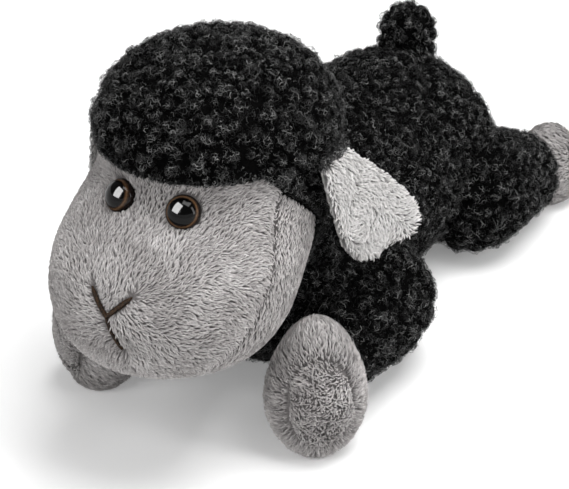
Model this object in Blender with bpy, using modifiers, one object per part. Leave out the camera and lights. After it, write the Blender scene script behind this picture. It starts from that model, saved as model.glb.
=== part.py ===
"""A lying plush sheep: fleece and plush skins over stuffing cores, sewn together panel by panel.

Metres, +Z up. The toy looks along -Y, its left side is +X and its belly and feet rest on z = 0.
Left and right pieces are mirror images. The origin is under the middle of the finished toy.
"""
import math

import bmesh
import bpy
import numpy as np
from mathutils import Matrix, Vector

# Cloth, thread and clearances
PLUSH_WALL = 0.0020
FLEECE_PILE = 0.0035
SEAM_GAP = 0.0003
SOCKET_GAP = 0.0006
FLOOR_CUT = 0.0005
CUTTER_REACH = 0.40
THREAD_WIDTH = 0.0016
CORE_INSET = -(PLUSH_WALL + SEAM_GAP)

# Body and neck
BODY_LENGTH = 0.189
BODY_WIDTH = 0.080
BODY_HEIGHT = 0.0825
BODY_FRONT_Y = -0.058
BELLY_SEAM_Z = 0.015
NECK_RADIUS = 0.036
NECK_OPENING = 0.040
NECK_Y = -0.024
NECK_Z = 0.046
NOD_UP_DEGREES = 12
NOD_DOWN_DEGREES = 5
WAG_DEGREES = 20

# Tail
TAIL_LENGTH = 0.040
TAIL_WIDTH = 0.023
TAIL_ROOT_Y = 0.100
TAIL_ROOT_Z = 0.070
TAIL_OPENING = 0.012

# Head
HEAD_HEIGHT = 0.0975
HEAD_WIDTH = 0.084
HEAD_DEPTH = 0.098
CHIN_Z = 0.0445
HEAD_AXIS_Y = -0.056
CAP_EDGE_Z = 0.1110
TEMPLE_CUT = 0.0210
FACE_SEAM_Y = -0.0859
FACE_SEAM_Z = 0.0906
FACE_SEAM_LEAN = 0.77
THROAT_SEAM_Y = -0.061

# Eyes, nose and mouth
EYE_DIAMETER = 0.0120
EYE_DOME = 0.0050
EYE_SPREAD = 0.0240
EYE_Z = 0.1030
EYE_SEAT = 0.0010
EYE_STEPS = 4
SHANK_DIAMETER = 0.0034
SHANK_LENGTH = 0.0110
WASHER_DIAMETER = 0.0130
WASHER_THICKNESS = 0.0012
WASHER_DEPTH = 0.0048
NOSE_Z = 0.0760
NOSE_ARM_RISE = 0.0074
NOSE_ARM_REACH = 0.0077
MOUTH_LENGTH = 0.0115
MOUTH_LEAN = 0.0055

# Ears
EAR_LENGTH = 0.0505
EAR_WIDTH = 0.039
EAR_PANEL = 0.0019
EAR_CUP = 0.0040
EAR_TWIST = 0.0035
EAR_ROOT_Y = -0.055
EAR_ROOT_Z = 0.110
EAR_SPLAY = 0.012
EAR_SWEEP = 0.024

# Front legs
FRONT_LEG_X = 0.038
FRONT_LEG_Y = -0.006
FRONT_LEG_Z = 0.0270
FRONT_LEG_WIDTH = 0.045
FRONT_FOOT_X = 0.0455
FRONT_FOOT_Y = -0.0685
FRONT_FOOT_WIDTH = 0.033
FRONT_FOOT_DEPTH = 0.031
FRONT_FOOT_HEIGHT = 0.054
FRONT_FOOT_TURN_DEGREES = 36
FRONT_SPLAY_DEGREES = 20

# Hind legs
HIND_LEG_X = 0.036
HIND_LEG_Y = 0.092
HIND_LEG_Z = 0.0270
HIND_LEG_WIDTH = 0.051
HIND_FOOT_X = 0.049
HIND_FOOT_Y = 0.145
HIND_FOOT_WIDTH = 0.029
HIND_FOOT_DEPTH = 0.029
HIND_FOOT_HEIGHT = 0.034
HIND_FOOT_TURN_DEGREES = 20
HIND_SPLAY_DEGREES = 16

# Forms, as rows of shares: (along the length, width, depth, shift across, shift through).
# Width and depth are shares of the named ones, measured against a ball of that length.
HEAD_SHARES = (
    (0.00, 1.90, 1.62, 0.0, -0.342),
    (0.04, 1.74, 1.50, 0.0, -0.340),
    (0.10, 1.46, 1.27, 0.0, -0.336),
    (0.19, 1.24, 1.13, 0.0, -0.314),
    (0.29, 1.11, 1.07, 0.0, -0.283),
    (0.39, 1.03, 1.05, 0.0, -0.219),
    (0.49, 0.96, 1.01, 0.0, -0.117),
    (0.59, 0.94, 0.94, 0.0, -0.014),
    (0.69, 1.01, 0.98, 0.0, 0.006),
    (0.78, 1.11, 1.05, 0.0, 0.005),
    (0.88, 1.22, 1.12, 0.0, 0.005),
    (1.00, 1.32, 1.20, 0.0, 0.005),
)
BODY_SHARES = (
    (0.00, 1.48, 1.43, 0.0, 0.046),
    (0.07, 1.46, 1.42, 0.0, 0.046),
    (0.18, 1.18, 1.32, 0.0, 0.000),
    (0.30, 1.09, 1.11, 0.0, 0.001),
    (0.50, 1.02, 1.02, 0.0, 0.0025),
    (0.66, 1.08, 1.08, 0.0, 0.0035),
    (0.81, 1.34, 1.25, 0.0, -0.012),
    (0.92, 1.56, 1.44, 0.0, -0.058),
    (1.00, 1.66, 1.52, 0.0, -0.070),
)
LEG_SHARES = (
    (0.00, 1.30, 1.30, 0.0, 0.0),
    (0.28, 1.10, 1.10, 0.0, 0.0),
    (0.50, 0.90, 0.90, 0.0, 0.0),
    (0.70, 0.82, 0.82, 0.0, 0.0),
    (0.85, 0.90, 0.90, 0.0, 0.0),
    (1.00, 0.96, 0.96, 0.0, 0.0),
)
FOOT_SHARES = (
    (0.00, 1.08, 1.12, 0.0, 0.00),
    (0.30, 1.08, 1.08, 0.0, 0.02),
    (0.55, 1.00, 1.00, 0.0, 0.00),
    (0.80, 0.88, 0.88, 0.0, -0.02),
    (1.00, 0.84, 0.84, 0.0, -0.04),
)
TAIL_SHARES = (
    (0.00, 1.30, 1.30, 0.0, 0.00),
    (0.30, 0.98, 0.92, 0.0, 0.00),
    (0.62, 1.06, 0.90, 0.0, 0.04),
    (0.85, 1.22, 1.00, 0.0, 0.06),
    (1.00, 1.30, 1.06, 0.0, 0.06),
)
EAR_SHARES = (
    (0.00, 0.42),
    (0.25, 0.68),
    (0.50, 0.90),
    (0.75, 1.00),
    (0.90, 0.82),
    (1.00, 0.40),
)
PROBE_SHARE = 0.001
SOLE_WIDTH_SHARE = 0.72
SOLE_HEIGHT_SHARE = 0.66
SOLE_CENTRE_SHARE = 0.49
ANKLE_SHARE = 0.225

HEAD_FACES = (20, 14)
BODY_FACES = (18, 12)
LEG_FACES = (12, 8)
FOOT_FACES = (12, 9)
TAIL_FACES = (10, 7)
SOCKET_FACES = (12, 8)
NECK_FACES = (28, 6)
ROUND_STEPS = 14
EAR_STEPS = (5, 7)
STITCH_POINTS = 9
SPLAY_STEPS = 4
SCREW_MERGE = 0.00001

LEFT = Vector((1, 0, 0))
BACK = Vector((0, 1, 0))
UP = Vector((0, 0, 1))
NECK = Vector((0, NECK_Y, NECK_Z))
TAIL_ROOT = Vector((0, TAIL_ROOT_Y, TAIL_ROOT_Z))


# Scene, collections and materials
for old in list(bpy.data.objects):
    bpy.data.objects.remove(old)
toy = bpy.data.collections.new("plush_sheep")
cutters = bpy.data.collections.new("cutters")
bpy.context.scene.collection.children.link(toy)
bpy.context.scene.collection.children.link(cutters)


def pivot(name, place=Vector(), parent=None):
    """An empty on a joint, for the pieces that move with it."""
    empty = bpy.data.objects.new(name, None)
    toy.objects.link(empty)
    empty.location = place - (Vector(parent["place"]) if parent else Vector())
    empty["place"] = place
    empty.parent = parent
    return empty


def carry(obj, parent):
    """Hangs an object that is drawn in the toy's own frame on a pivot, without moving it."""
    obj.parent = parent
    obj.matrix_parent_inverse = Matrix.Translation(-Vector(parent["place"]))


def material(name, colour, roughness):
    made = bpy.data.materials.new(name)
    made.use_nodes = True
    shader = made.node_tree.nodes["Principled BSDF"]
    shader.inputs["Base Color"].default_value = (*colour, 1.0)
    shader.inputs["Roughness"].default_value = roughness
    shader.inputs["Metallic"].default_value = 0.0
    return made


FLEECE_BLACK = (0.020, 0.020, 0.023)
PLUSH_GREY = (0.330, 0.310, 0.325)
SOLE_GREY = (0.360, 0.340, 0.350)
EAR_GREY = (0.420, 0.400, 0.415)
STUFFING_WHITE = (0.800, 0.800, 0.780)
THREAD_BROWN = (0.060, 0.030, 0.015)
EYE_AMBER = (0.120, 0.045, 0.012)
WASHER_WHITE = (0.700, 0.700, 0.700)
CLOTH_ROUGHNESS = 0.95
POLISHED_ROUGHNESS = 0.08
WASHER_ROUGHNESS = 0.45

root = pivot("sheep")


def shown(obj, parent, colour, roughness=CLOTH_ROUGHNESS):
    """Makes an object a piece of the toy, with a material of its own."""
    toy.objects.link(obj)
    carry(obj, parent)
    obj.data.materials.clear()
    obj.data.materials.append(material(obj.name, colour, roughness))
    obj.data.shade_smooth()
    return obj


def hidden(obj, parent=root):
    """Makes an object a cutter."""
    cutters.objects.link(obj)
    carry(obj, parent)
    obj.hide_render = True
    obj.display_type = "WIRE"
    return obj


# Forms
def share_at(rows, column, at):
    """The value of one column at a share of the length, on a smooth curve through the rows."""
    shares = np.array([row[0] for row in rows])
    values = np.array([row[column] for row in rows])
    slopes = np.gradient(values, shares)
    k = min(max(int(np.searchsorted(shares, at)) - 1, 0), len(shares) - 2)
    span = shares[k + 1] - shares[k]
    t = (at - shares[k]) / span
    start = (1 + 2 * t) * (1 - t) ** 2 * values[k] + t * (1 - t) ** 2 * span * slopes[k]
    end = t * t * (3 - 2 * t) * values[k + 1] + t * t * (t - 1) * span * slopes[k + 1]
    return float(start + end)


def form_point(form, unit):
    """Where a point of the unit sphere lies on a form."""
    start, along, across, through, width, depth, rows = form
    at = (1 + unit.z) / 2
    sideways = width * (unit.x * share_at(rows, 1, at) / 2 + share_at(rows, 3, at))
    deep = depth * (unit.y * share_at(rows, 2, at) / 2 + share_at(rows, 4, at))
    return start + along * at + across * sideways + through * deep


def soft_form(name, form, faces):
    """A closed body that swells and tapers: a sphere whose rings follow the form's rows."""
    sides, rings = faces
    bm = bmesh.new()
    bmesh.ops.create_uvsphere(bm, u_segments=sides, v_segments=rings, radius=1.0)
    for vertex in bm.verts:
        vertex.co = form_point(form, vertex.co)
    bm.normal_update()
    bmesh.ops.recalc_face_normals(bm, faces=bm.faces)
    return finished(name, bm)


def finished(name, bm):
    mesh = bpy.data.meshes.new(name)
    bm.to_mesh(mesh)
    bm.free()
    return bpy.data.objects.new(name, mesh)


def ball(name, centre, radius, faces=SOCKET_FACES, poles=UP):
    """A ball whose flat facets stay outside its radius, so a round root can turn in it."""
    sides, rings = faces
    outer = radius / math.cos(math.pi / sides) / math.cos(math.pi / 2 / rings)
    bm = bmesh.new()
    bmesh.ops.create_uvsphere(bm, u_segments=sides, v_segments=rings, radius=outer)
    bm.transform(Matrix.Translation(centre) @ UP.rotation_difference(poles).to_matrix().to_4x4())
    return finished(name, bm)


def neck_ball(name, grown):
    """The body's rounded neck, round about the axis that the head nods on."""
    return hidden(ball(name, NECK, NECK_RADIUS + grown, NECK_FACES, LEFT))


def block(name, low, high):
    """A box between two corners."""
    bm = bmesh.new()
    bmesh.ops.create_cube(bm, size=1.0)
    bmesh.ops.scale(bm, verts=bm.verts, vec=high - low)
    bmesh.ops.translate(bm, verts=bm.verts, vec=(high + low) / 2)
    return finished(name, bm)


def slab(name, outline):
    """A solid right across the toy, from its outline of (y, z) places."""
    bm = bmesh.new()
    right, left = [[bm.verts.new((x, y, z)) for y, z in outline] for x in (-CUTTER_REACH, CUTTER_REACH)]
    bm.faces.new(right)
    bm.faces.new(reversed(left))
    for number in range(len(outline)):
        bm.faces.new((right[number - 1], right[number], left[number], left[number - 1]))
    bmesh.ops.recalc_face_normals(bm, faces=bm.faces)
    return finished(name, bm)


def oval_bar(name, start, along, across, width, height):
    """A bar of oval section, from its start along a vector."""
    bm = bmesh.new()
    bmesh.ops.create_cone(bm, cap_ends=True, segments=ROUND_STEPS, radius1=0.5, radius2=0.5, depth=1.0)
    upright = along.cross(across).normalized()
    for vertex in bm.verts:
        spot = vertex.co.copy()
        vertex.co = start + along * (spot.z + 0.5) + across * (spot.x * width) + upright * (spot.y * height)
    bm.normal_update()
    bmesh.ops.recalc_face_normals(bm, faces=bm.faces)
    return finished(name, bm)


def moved_out(obj, distance):
    """Moves a surface out along its normals, or in where the distance is negative."""
    move = obj.modifiers.new("resize", "DISPLACE")
    move.mid_level = 0.0
    move.strength = distance
    return obj


def resized(obj, name, grown):
    return moved_out(bpy.data.objects.new(name, obj.data.copy()), grown)


def cut(obj, cutter, operation="DIFFERENCE"):
    change = obj.modifiers.new(cutter.name, "BOOLEAN")
    change.operation = operation
    # The skins are thin and cross each other at grazing angles, which empties them with EXACT
    change.solver = "MANIFOLD"
    change.object = cutter
    return obj


def fixed(obj, name):
    """A plain copy of a cutter with its modifiers worked out."""
    bpy.context.view_layer.update()
    graph = bpy.context.evaluated_depsgraph_get()
    mesh = bpy.data.meshes.new_from_object(obj.evaluated_get(graph))
    return bpy.data.objects.new(name, mesh)


def piece(name, base, grown, parent, colour, less=(), within=(), plus=()):
    """A piece of the toy: a form, grown or shrunk, with some bodies added, then kept and cut."""
    made = resized(base, name, grown)
    for added in plus:
        cut(made, added, "UNION")
    for cutter in within:
        cut(made, cutter, "INTERSECT")
    for cutter in less:
        cut(made, cutter)
    return shown(made, parent, colour)


def swept(obj, tag, place, axis, angles):
    """The cutter as a moving piece meets it: at rest and turned about the joint by some angles."""
    steps = [obj]
    for number, degrees in enumerate(angles, 1):
        copy = bpy.data.objects.new(f"{obj.name}_{tag}_{number}", obj.data.copy())
        turn = Matrix.Rotation(math.radians(degrees), 4, axis)
        copy.data.transform(Matrix.Translation(place) @ turn @ Matrix.Translation(-place))
        steps.append(hidden(copy))
    return steps


FAR = CUTTER_REACH
floor = hidden(block("floor_block", Vector((-FAR, -FAR, -FAR)), Vector((FAR, FAR, 0))))


# Leg and foot frames, shared by the body's sockets and the legs themselves
LEGS = {
    "front": dict(
        hip=Vector((FRONT_LEG_X, FRONT_LEG_Y, FRONT_LEG_Z)),
        width=FRONT_LEG_WIDTH,
        foot=Vector((FRONT_FOOT_X, FRONT_FOOT_Y, 0)),
        foot_width=FRONT_FOOT_WIDTH,
        foot_depth=FRONT_FOOT_DEPTH,
        foot_height=FRONT_FOOT_HEIGHT,
        facing=Matrix.Rotation(math.radians(FRONT_FOOT_TURN_DEGREES), 3, "Z") @ -BACK,
        splay=-FRONT_SPLAY_DEGREES,
    ),
    "hind": dict(
        hip=Vector((HIND_LEG_X, HIND_LEG_Y, HIND_LEG_Z)),
        width=HIND_LEG_WIDTH,
        foot=Vector((HIND_FOOT_X, HIND_FOOT_Y, 0)),
        foot_width=HIND_FOOT_WIDTH,
        foot_depth=HIND_FOOT_DEPTH,
        foot_height=HIND_FOOT_HEIGHT,
        facing=Matrix.Rotation(math.radians(-HIND_FOOT_TURN_DEGREES), 3, "Z") @ BACK,
        splay=HIND_SPLAY_DEGREES,
    ),
}


def sided(vector, side):
    """The vector on the left side (1) or mirrored to the right (-1)."""
    return Vector((vector.x * side, vector.y, vector.z))


SIDES = (("left", 1), ("right", -1))

# Body form, its hollow and its sockets
body_form = (
    Vector((0, BODY_FRONT_Y, BODY_HEIGHT / 2 - FLOOR_CUT)),
    BACK * BODY_LENGTH,
    LEFT,
    UP,
    BODY_WIDTH,
    BODY_HEIGHT,
    BODY_SHARES,
)
body = hidden(soft_form("body_outer", body_form, BODY_FACES))
body_void = hidden(resized(body, "body_void", -PLUSH_WALL))
sockets = []
body_clear = hidden(resized(body, "body_clear", SEAM_GAP))
neck_clear = neck_ball("neck_clear", SEAM_GAP)
cut(body_clear, neck_clear, "UNION")
for kind, leg in LEGS.items():
    for word, side in SIDES:
        place = sided(leg["hip"], side)
        radius = leg["width"] / 2
        sockets.append(hidden(ball(f"socket_{kind}_{word}", place, radius + SOCKET_GAP)))
        cut(body_clear, hidden(ball(f"inner_socket_{kind}_{word}", place, radius + SEAM_GAP)))
sockets.append(hidden(ball("socket_tail", TAIL_ROOT, TAIL_WIDTH / 2 + SOCKET_GAP)))
cut(body_clear, hidden(ball("inner_socket_tail", TAIL_ROOT, TAIL_WIDTH / 2 + SEAM_GAP)))
body_limit = hidden(fixed(body_clear, "body_limit"))

# Body skin in two panels, open at the neck, the legs and the tail, over one core
neck = neck_ball("neck_outer", 0)
neck_void = neck_ball("neck_void", -PLUSH_WALL)
neck_core = neck_ball("neck_core", CORE_INSET)
neck_way = Vector((0, HEAD_AXIS_Y - NECK_Y, NECK_RADIUS)).normalized()
neck_mouth = hidden(oval_bar("neck_mouth", NECK, neck_way * FAR, LEFT, NECK_OPENING, NECK_OPENING))
below = hidden(block("below_seam", Vector((-FAR, -FAR, -FAR)), Vector((FAR, FAR, BELLY_SEAM_Z))))
above = hidden(block("above_seam", Vector((-FAR, -FAR, BELLY_SEAM_Z - SEAM_GAP)), Vector((FAR, FAR, FAR))))
openings = [body_void, neck_void, neck_mouth] + sockets
piece("body_back_fleece", body, 0, root, FLEECE_BLACK, openings + [below], plus=[neck])
piece("body_belly_fleece", body, 0, root, FLEECE_BLACK, openings + [above, floor], plus=[neck])
piece("body_stuffing", body, CORE_INSET, root, STUFFING_WHITE, sockets, plus=[neck_core])

# Tail: a stub with a round root that sits in the back
tail_pivot = pivot("tail_pivot", TAIL_ROOT, root)
tail_form = (
    TAIL_ROOT - UP * (TAIL_WIDTH / 2),
    UP * TAIL_LENGTH,
    LEFT,
    BACK,
    TAIL_WIDTH,
    TAIL_WIDTH,
    TAIL_SHARES,
)
tail = hidden(soft_form("tail_outer", tail_form, TAIL_FACES))
tail_void = hidden(resized(tail, "tail_void", -PLUSH_WALL))
tail_mouth = hidden(oval_bar("tail_mouth", TAIL_ROOT, -UP * TAIL_WIDTH, LEFT, TAIL_OPENING, TAIL_OPENING))
wag_angles = (-WAG_DEGREES, -WAG_DEGREES / 2, WAG_DEGREES / 2, WAG_DEGREES)
wags = swept(body_limit, "tail", TAIL_ROOT, "X", wag_angles)
piece("tail_fleece", tail, 0, tail_pivot, FLEECE_BLACK, [tail_void, tail_mouth] + wags)
piece("tail_stuffing", tail, CORE_INSET, tail_pivot, STUFFING_WHITE, wags)


def build_leg(kind, leg, word, side):
    """A fleece sleeve with a ball root, a plush foot with a sole panel, and one core through both."""
    tag = f"{kind}_{word}"
    hip = sided(leg["hip"], side)
    leg_pivot = pivot(f"{tag}_pivot", hip, root)
    radius = leg["width"] / 2
    sole_way = sided(leg["facing"], side)
    foot_across = sole_way.cross(UP)
    foot_base = sided(leg["foot"], side) - UP * FLOOR_CUT
    ankle = foot_base + UP * (leg["foot_height"] / 2) - sole_way * (leg["foot_depth"] * ANKLE_SHARE)
    run = (ankle - hip).normalized()
    sleeve_start = hip - run * radius
    sleeve_across = run.cross(UP).normalized()
    sleeve_form = (
        sleeve_start,
        ankle - sleeve_start,
        sleeve_across,
        sleeve_across.cross(run),
        leg["width"],
        leg["width"],
        LEG_SHARES,
    )
    foot_form = (
        foot_base,
        UP * leg["foot_height"],
        foot_across,
        -sole_way,
        leg["foot_width"],
        leg["foot_depth"],
        FOOT_SHARES,
    )
    sleeve = hidden(soft_form(f"{tag}_sleeve_outer", sleeve_form, LEG_FACES))
    foot = hidden(soft_form(f"{tag}_foot_outer", foot_form, FOOT_FACES))
    foot_clear = hidden(resized(foot, f"{tag}_foot_clear", SEAM_GAP))
    hollow = resized(sleeve, f"{tag}_hollow", -PLUSH_WALL)
    hidden(cut(hollow, hidden(resized(foot, f"{tag}_foot_hollow", -PLUSH_WALL)), "UNION"))
    sole_place = foot_base + UP * (leg["foot_height"] * SOLE_CENTRE_SHARE)
    sole_size = (leg["foot_width"] * SOLE_WIDTH_SHARE, leg["foot_height"] * SOLE_HEIGHT_SHARE)
    sole_bar = oval_bar(f"{tag}_sole_bar", sole_place, sole_way * FAR, foot_across, *sole_size)
    sole_hole = (sole_size[0] + 2 * SEAM_GAP, sole_size[1] + 2 * SEAM_GAP)
    sole_mouth = oval_bar(f"{tag}_sole_mouth", sole_place, sole_way * FAR, foot_across, *sole_hole)
    hidden(sole_bar)
    hidden(sole_mouth)
    inner_foot = hidden(resized(foot, f"{tag}_foot_core", CORE_INSET))
    splay_angles = [leg["splay"] * side * step / SPLAY_STEPS for step in range(1, SPLAY_STEPS + 1)]
    splays = swept(body_limit, tag, hip, "Z", splay_angles)
    piece(f"{tag}_sleeve", sleeve, 0, leg_pivot, FLEECE_BLACK, [hollow, foot_clear] + splays)
    piece(f"{tag}_foot", foot, 0, leg_pivot, PLUSH_GREY, [hollow, sole_mouth, floor])
    piece(f"{tag}_sole", foot, 0, leg_pivot, SOLE_GREY, [hollow, floor], [sole_bar])
    piece(f"{tag}_stuffing", sleeve, CORE_INSET, leg_pivot, STUFFING_WHITE, splays, plus=[inner_foot])


for kind, leg in LEGS.items():
    for word, side in SIDES:
        build_leg(kind, leg, word, side)

# Head: face, throat band and cap over one core, on the body's rounded neck
head_pivot = pivot("head_pivot", NECK, root)
head_form = (
    Vector((0, HEAD_AXIS_Y, CHIN_Z)),
    UP * HEAD_HEIGHT,
    LEFT,
    BACK,
    HEAD_WIDTH,
    HEAD_DEPTH,
    HEAD_SHARES,
)
head = hidden(soft_form("head_outer", head_form, HEAD_FACES))
head_void = hidden(resized(head, "head_void", -PLUSH_WALL))
nod_angles = (NOD_UP_DEGREES, NOD_UP_DEGREES / 2, -NOD_DOWN_DEGREES)
nods = [neck_clear] + swept(body_limit, "head", NECK, "X", nod_angles)
half_gap = SEAM_GAP / 2


def front_zone(name, gap):
    """In front of the cap: under its edge, and cut off at the temples where the cap comes down."""
    top, back = CAP_EDGE_Z + gap, THROAT_SEAM_Y + gap
    corner = gap * math.tan(math.pi / 8) - TEMPLE_CUT
    return hidden(slab(name, [
        (-FAR, -FAR),
        (back, -FAR),
        (back, CAP_EDGE_Z + corner),
        (THROAT_SEAM_Y + corner, top),
        (-FAR, top),
    ]))


def seam_zone(name, end, gap):
    """On one side of the leaning seam between the face and the throat band."""
    heights = (0.0, CHIN_Z + HEAD_HEIGHT)
    low, high = [FACE_SEAM_Y + FACE_SEAM_LEAN * (z - FACE_SEAM_Z) + gap for z in heights]
    return hidden(slab(name, [(end, heights[0]), (low, heights[0]), (high, heights[1]), (end, heights[1])]))


seam_half = half_gap * math.hypot(1, FACE_SEAM_LEAN)
front_inside = front_zone("front_inside", -half_gap)
front_outside = front_zone("front_outside", half_gap)
face_zone = seam_zone("face_zone", -FAR, -seam_half)
throat_zone = seam_zone("throat_zone", FAR, seam_half)


def head_section(height):
    """Half the head's width and depth at a height, and the place along Y of its middle."""
    share = (height - CHIN_Z) / HEAD_HEIGHT
    circle = math.sqrt(share * (1 - share))
    reach = HEAD_WIDTH * share_at(HEAD_SHARES, 1, share) * circle
    depth = HEAD_DEPTH * share_at(HEAD_SHARES, 2, share) * circle
    return reach, depth, HEAD_AXIS_Y + HEAD_DEPTH * share_at(HEAD_SHARES, 4, share)


def head_front(across, height):
    reach, depth, middle = head_section(height)
    return Vector((across, middle - depth * math.sqrt(1 - (across / reach) ** 2), height))


def head_side(along, height):
    """How far out the side of the head lies at a place along Y and a height."""
    reach, depth, middle = head_section(height)
    return reach * math.sqrt(1 - ((along - middle) / depth) ** 2)


def head_surface(across, height, out=0.0):
    """A place on the front of the head, moved out along the normal there, and that normal."""
    step = HEAD_WIDTH * PROBE_SHARE
    place = head_front(across, height)
    sideways = head_front(across + step, height) - place
    upwards = head_front(across, height + step) - place
    normal = sideways.cross(upwards).normalized()
    return place + normal * out, normal


def turned_piece(name, profile, placement):
    """A round solid: a profile of (radius, height) points, top to bottom, turned about its own Z axis."""
    bm = bmesh.new()
    points = [bm.verts.new((radius, 0, height)) for radius, height in profile]
    for first, second in zip(points, points[1:]):
        bm.edges.new((first, second))
    made = finished(name, bm)
    spin = made.modifiers.new("turn", "SCREW")
    spin.steps = ROUND_STEPS
    spin.render_steps = ROUND_STEPS
    spin.use_merge_vertices = True
    spin.merge_threshold = SCREW_MERGE
    made.matrix_basis = placement
    return made


# Safety eyes: a dome on a shank that goes through the face, held by a washer inside
eye_cuts = []
core_cuts = []
for word, side in SIDES:
    seat, normal = head_surface(EYE_SPREAD / 2 * side, EYE_Z)
    base = seat - normal * EYE_SEAT
    placement = Matrix.Translation(base) @ normal.to_track_quat("Z", "Y").to_matrix().to_4x4()
    radius = EYE_DIAMETER / 2
    shank = SHANK_DIAMETER / 2
    dome = []
    for step in range(EYE_STEPS + 1):
        angle = math.pi / 2 * step / EYE_STEPS
        dome.append((radius * math.sin(angle), EYE_DOME * math.cos(angle)))
    dome[-1] = (radius, 0)
    stem = [(shank, 0), (shank, -SHANK_LENGTH), (0, -SHANK_LENGTH)]
    shown(turned_piece(f"eye_{word}", dome + stem, placement), head_pivot, EYE_AMBER, POLISHED_ROUGHNESS)
    bore = shank + SEAM_GAP
    rim = WASHER_DIAMETER / 2
    top = -WASHER_DEPTH
    low = top - WASHER_THICKNESS
    ring = [(bore, top), (rim, top), (rim, low), (bore, low), (bore, top)]
    shown(turned_piece(f"washer_{word}", ring, placement), head_pivot, WASHER_WHITE, WASHER_ROUGHNESS)
    inward = -normal
    across = normal.cross(UP).normalized()
    hole = EYE_DIAMETER + 2 * SEAM_GAP
    recess_floor = base + inward * SEAM_GAP
    recess = oval_bar(f"eye_recess_{word}", recess_floor, normal * EYE_DIAMETER, across, hole, hole)
    stem_hole = SHANK_DIAMETER + 2 * SEAM_GAP
    stem_bar = oval_bar(f"eye_stem_{word}", base, inward * EYE_DIAMETER, across, stem_hole, stem_hole)
    pocket = WASHER_DIAMETER + 2 * SEAM_GAP
    pocket_way = inward * (2 * EYE_DIAMETER)
    pocket_bar = oval_bar(f"eye_pocket_{word}", base - pocket_way / 2, pocket_way, across, pocket, pocket)
    eye_cuts += [hidden(recess), hidden(stem_bar)]
    core_cuts.append(hidden(pocket_bar))

head_less = [head_void] + nods
piece("face", head, 0, head_pivot, PLUSH_GREY, head_less + eye_cuts, [front_inside, face_zone])
piece("throat_band", head, 0, head_pivot, PLUSH_GREY, head_less, [front_inside, throat_zone])
piece("head_cap", head, FLEECE_PILE, head_pivot, FLEECE_BLACK, head_less + [front_outside] + eye_cuts)
piece("head_stuffing", head, CORE_INSET, head_pivot, STUFFING_WHITE, nods + core_cuts)


def thread(name, ends):
    """Satin-stitched thread that lies on the face through a few places of (across, height)."""
    bars = bpy.data.curves.new(name, "CURVE")
    bars.dimensions = "3D"
    bars.bevel_depth = THREAD_WIDTH / 2
    bars.bevel_resolution = 1
    bars.use_fill_caps = True
    line = bars.splines.new("POLY")
    line.points.add(STITCH_POINTS - 1)
    for point, at in zip(line.points, np.linspace(0, len(ends) - 1, STITCH_POINTS)):
        across = float(np.interp(at, range(len(ends)), [end[0] for end in ends]))
        height = float(np.interp(at, range(len(ends)), [end[1] for end in ends]))
        place, _ = head_surface(across, height, THREAD_WIDTH / 2 + SEAM_GAP)
        point.co = (*place, 1)
    made = bpy.data.objects.new(name, bars)
    toy.objects.link(made)
    carry(made, head_pivot)
    made.data.materials.append(material(name, THREAD_BROWN, CLOTH_ROUGHNESS))


thread("nose_stitch", [
    (-NOSE_ARM_REACH, NOSE_Z + NOSE_ARM_RISE),
    (0.0, NOSE_Z),
    (NOSE_ARM_REACH, NOSE_Z + NOSE_ARM_RISE),
])
mouth_top = NOSE_Z - THREAD_WIDTH - SEAM_GAP
thread("mouth_stitch", [(0.0, mouth_top), (MOUTH_LEAN, mouth_top - MOUTH_LENGTH)])


def build_ear(word, side):
    """Two leaf-shaped plush panels, sewn round their edge, that hang from the side of the cap."""
    root_x = head_side(EAR_ROOT_Y, EAR_ROOT_Z) + FLEECE_PILE + SEAM_GAP
    hinge = Vector((root_x * side, EAR_ROOT_Y, EAR_ROOT_Z))
    ear_pivot = pivot(f"ear_{word}_pivot", hinge, head_pivot)
    tip = Vector((EAR_SPLAY * side, EAR_SWEEP, 0))
    tip.z = -math.sqrt(EAR_LENGTH ** 2 - tip.length_squared)
    down = tip.normalized()
    outward = (down.cross(BACK) * side).normalized()
    apart = (EAR_PANEL + SEAM_GAP) / 2
    for layer, way in (("back", side), ("front", -side)):
        bm = bmesh.new()
        bmesh.ops.create_grid(bm, x_segments=EAR_STEPS[0], y_segments=EAR_STEPS[1], size=1.0)
        for vertex in bm.verts:
            u, v = vertex.co.x, (vertex.co.y + 1) / 2
            half = EAR_WIDTH / 2 * share_at(EAR_SHARES, 1, v)
            lift = EAR_PANEL / 2 + apart + EAR_CUP * u * u * v - EAR_TWIST * (1 - u) * v
            vertex.co = hinge + down * (EAR_LENGTH * v) + BACK * (u * half) + outward * lift
        made = moved_out(finished(f"ear_{word}_{layer}", bm), apart * way)
        wall = made.modifiers.new("panel", "SOLIDIFY")
        wall.thickness = EAR_PANEL
        wall.offset = 0.0
        shown(made, ear_pivot, EAR_GREY)


for word, side in SIDES:
    build_ear(word, side)

# The origin goes under the middle of the finished toy
bpy.context.view_layer.update()
graph = bpy.context.evaluated_depsgraph_get()
reach = []
for obj in toy.objects:
    if obj.type != "EMPTY":
        made = obj.evaluated_get(graph)
        reach += [(made.matrix_world @ vertex.co).y for vertex in made.to_mesh().vertices]
root.location.y = -(min(reach) + max(reach)) / 2
bpy.context.view_layer.update()
print("moved along Y by", round(root.location.y, 6))
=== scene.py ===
"""Looks of the lying plush sheep: curly black fleece, grey plush, brown-ringed eyes and a stitched nose.

Metres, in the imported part's frame. The toy looks along -Y, its left side is +X, and it lies on z = 0.
Cloth is a soft skin with real strands on it: combed tufts for the plush, crimped locks for the fleece.
"""
import math
from collections import namedtuple

import bpy
import numpy as np
from mathutils import Matrix, Vector, kdtree


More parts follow.
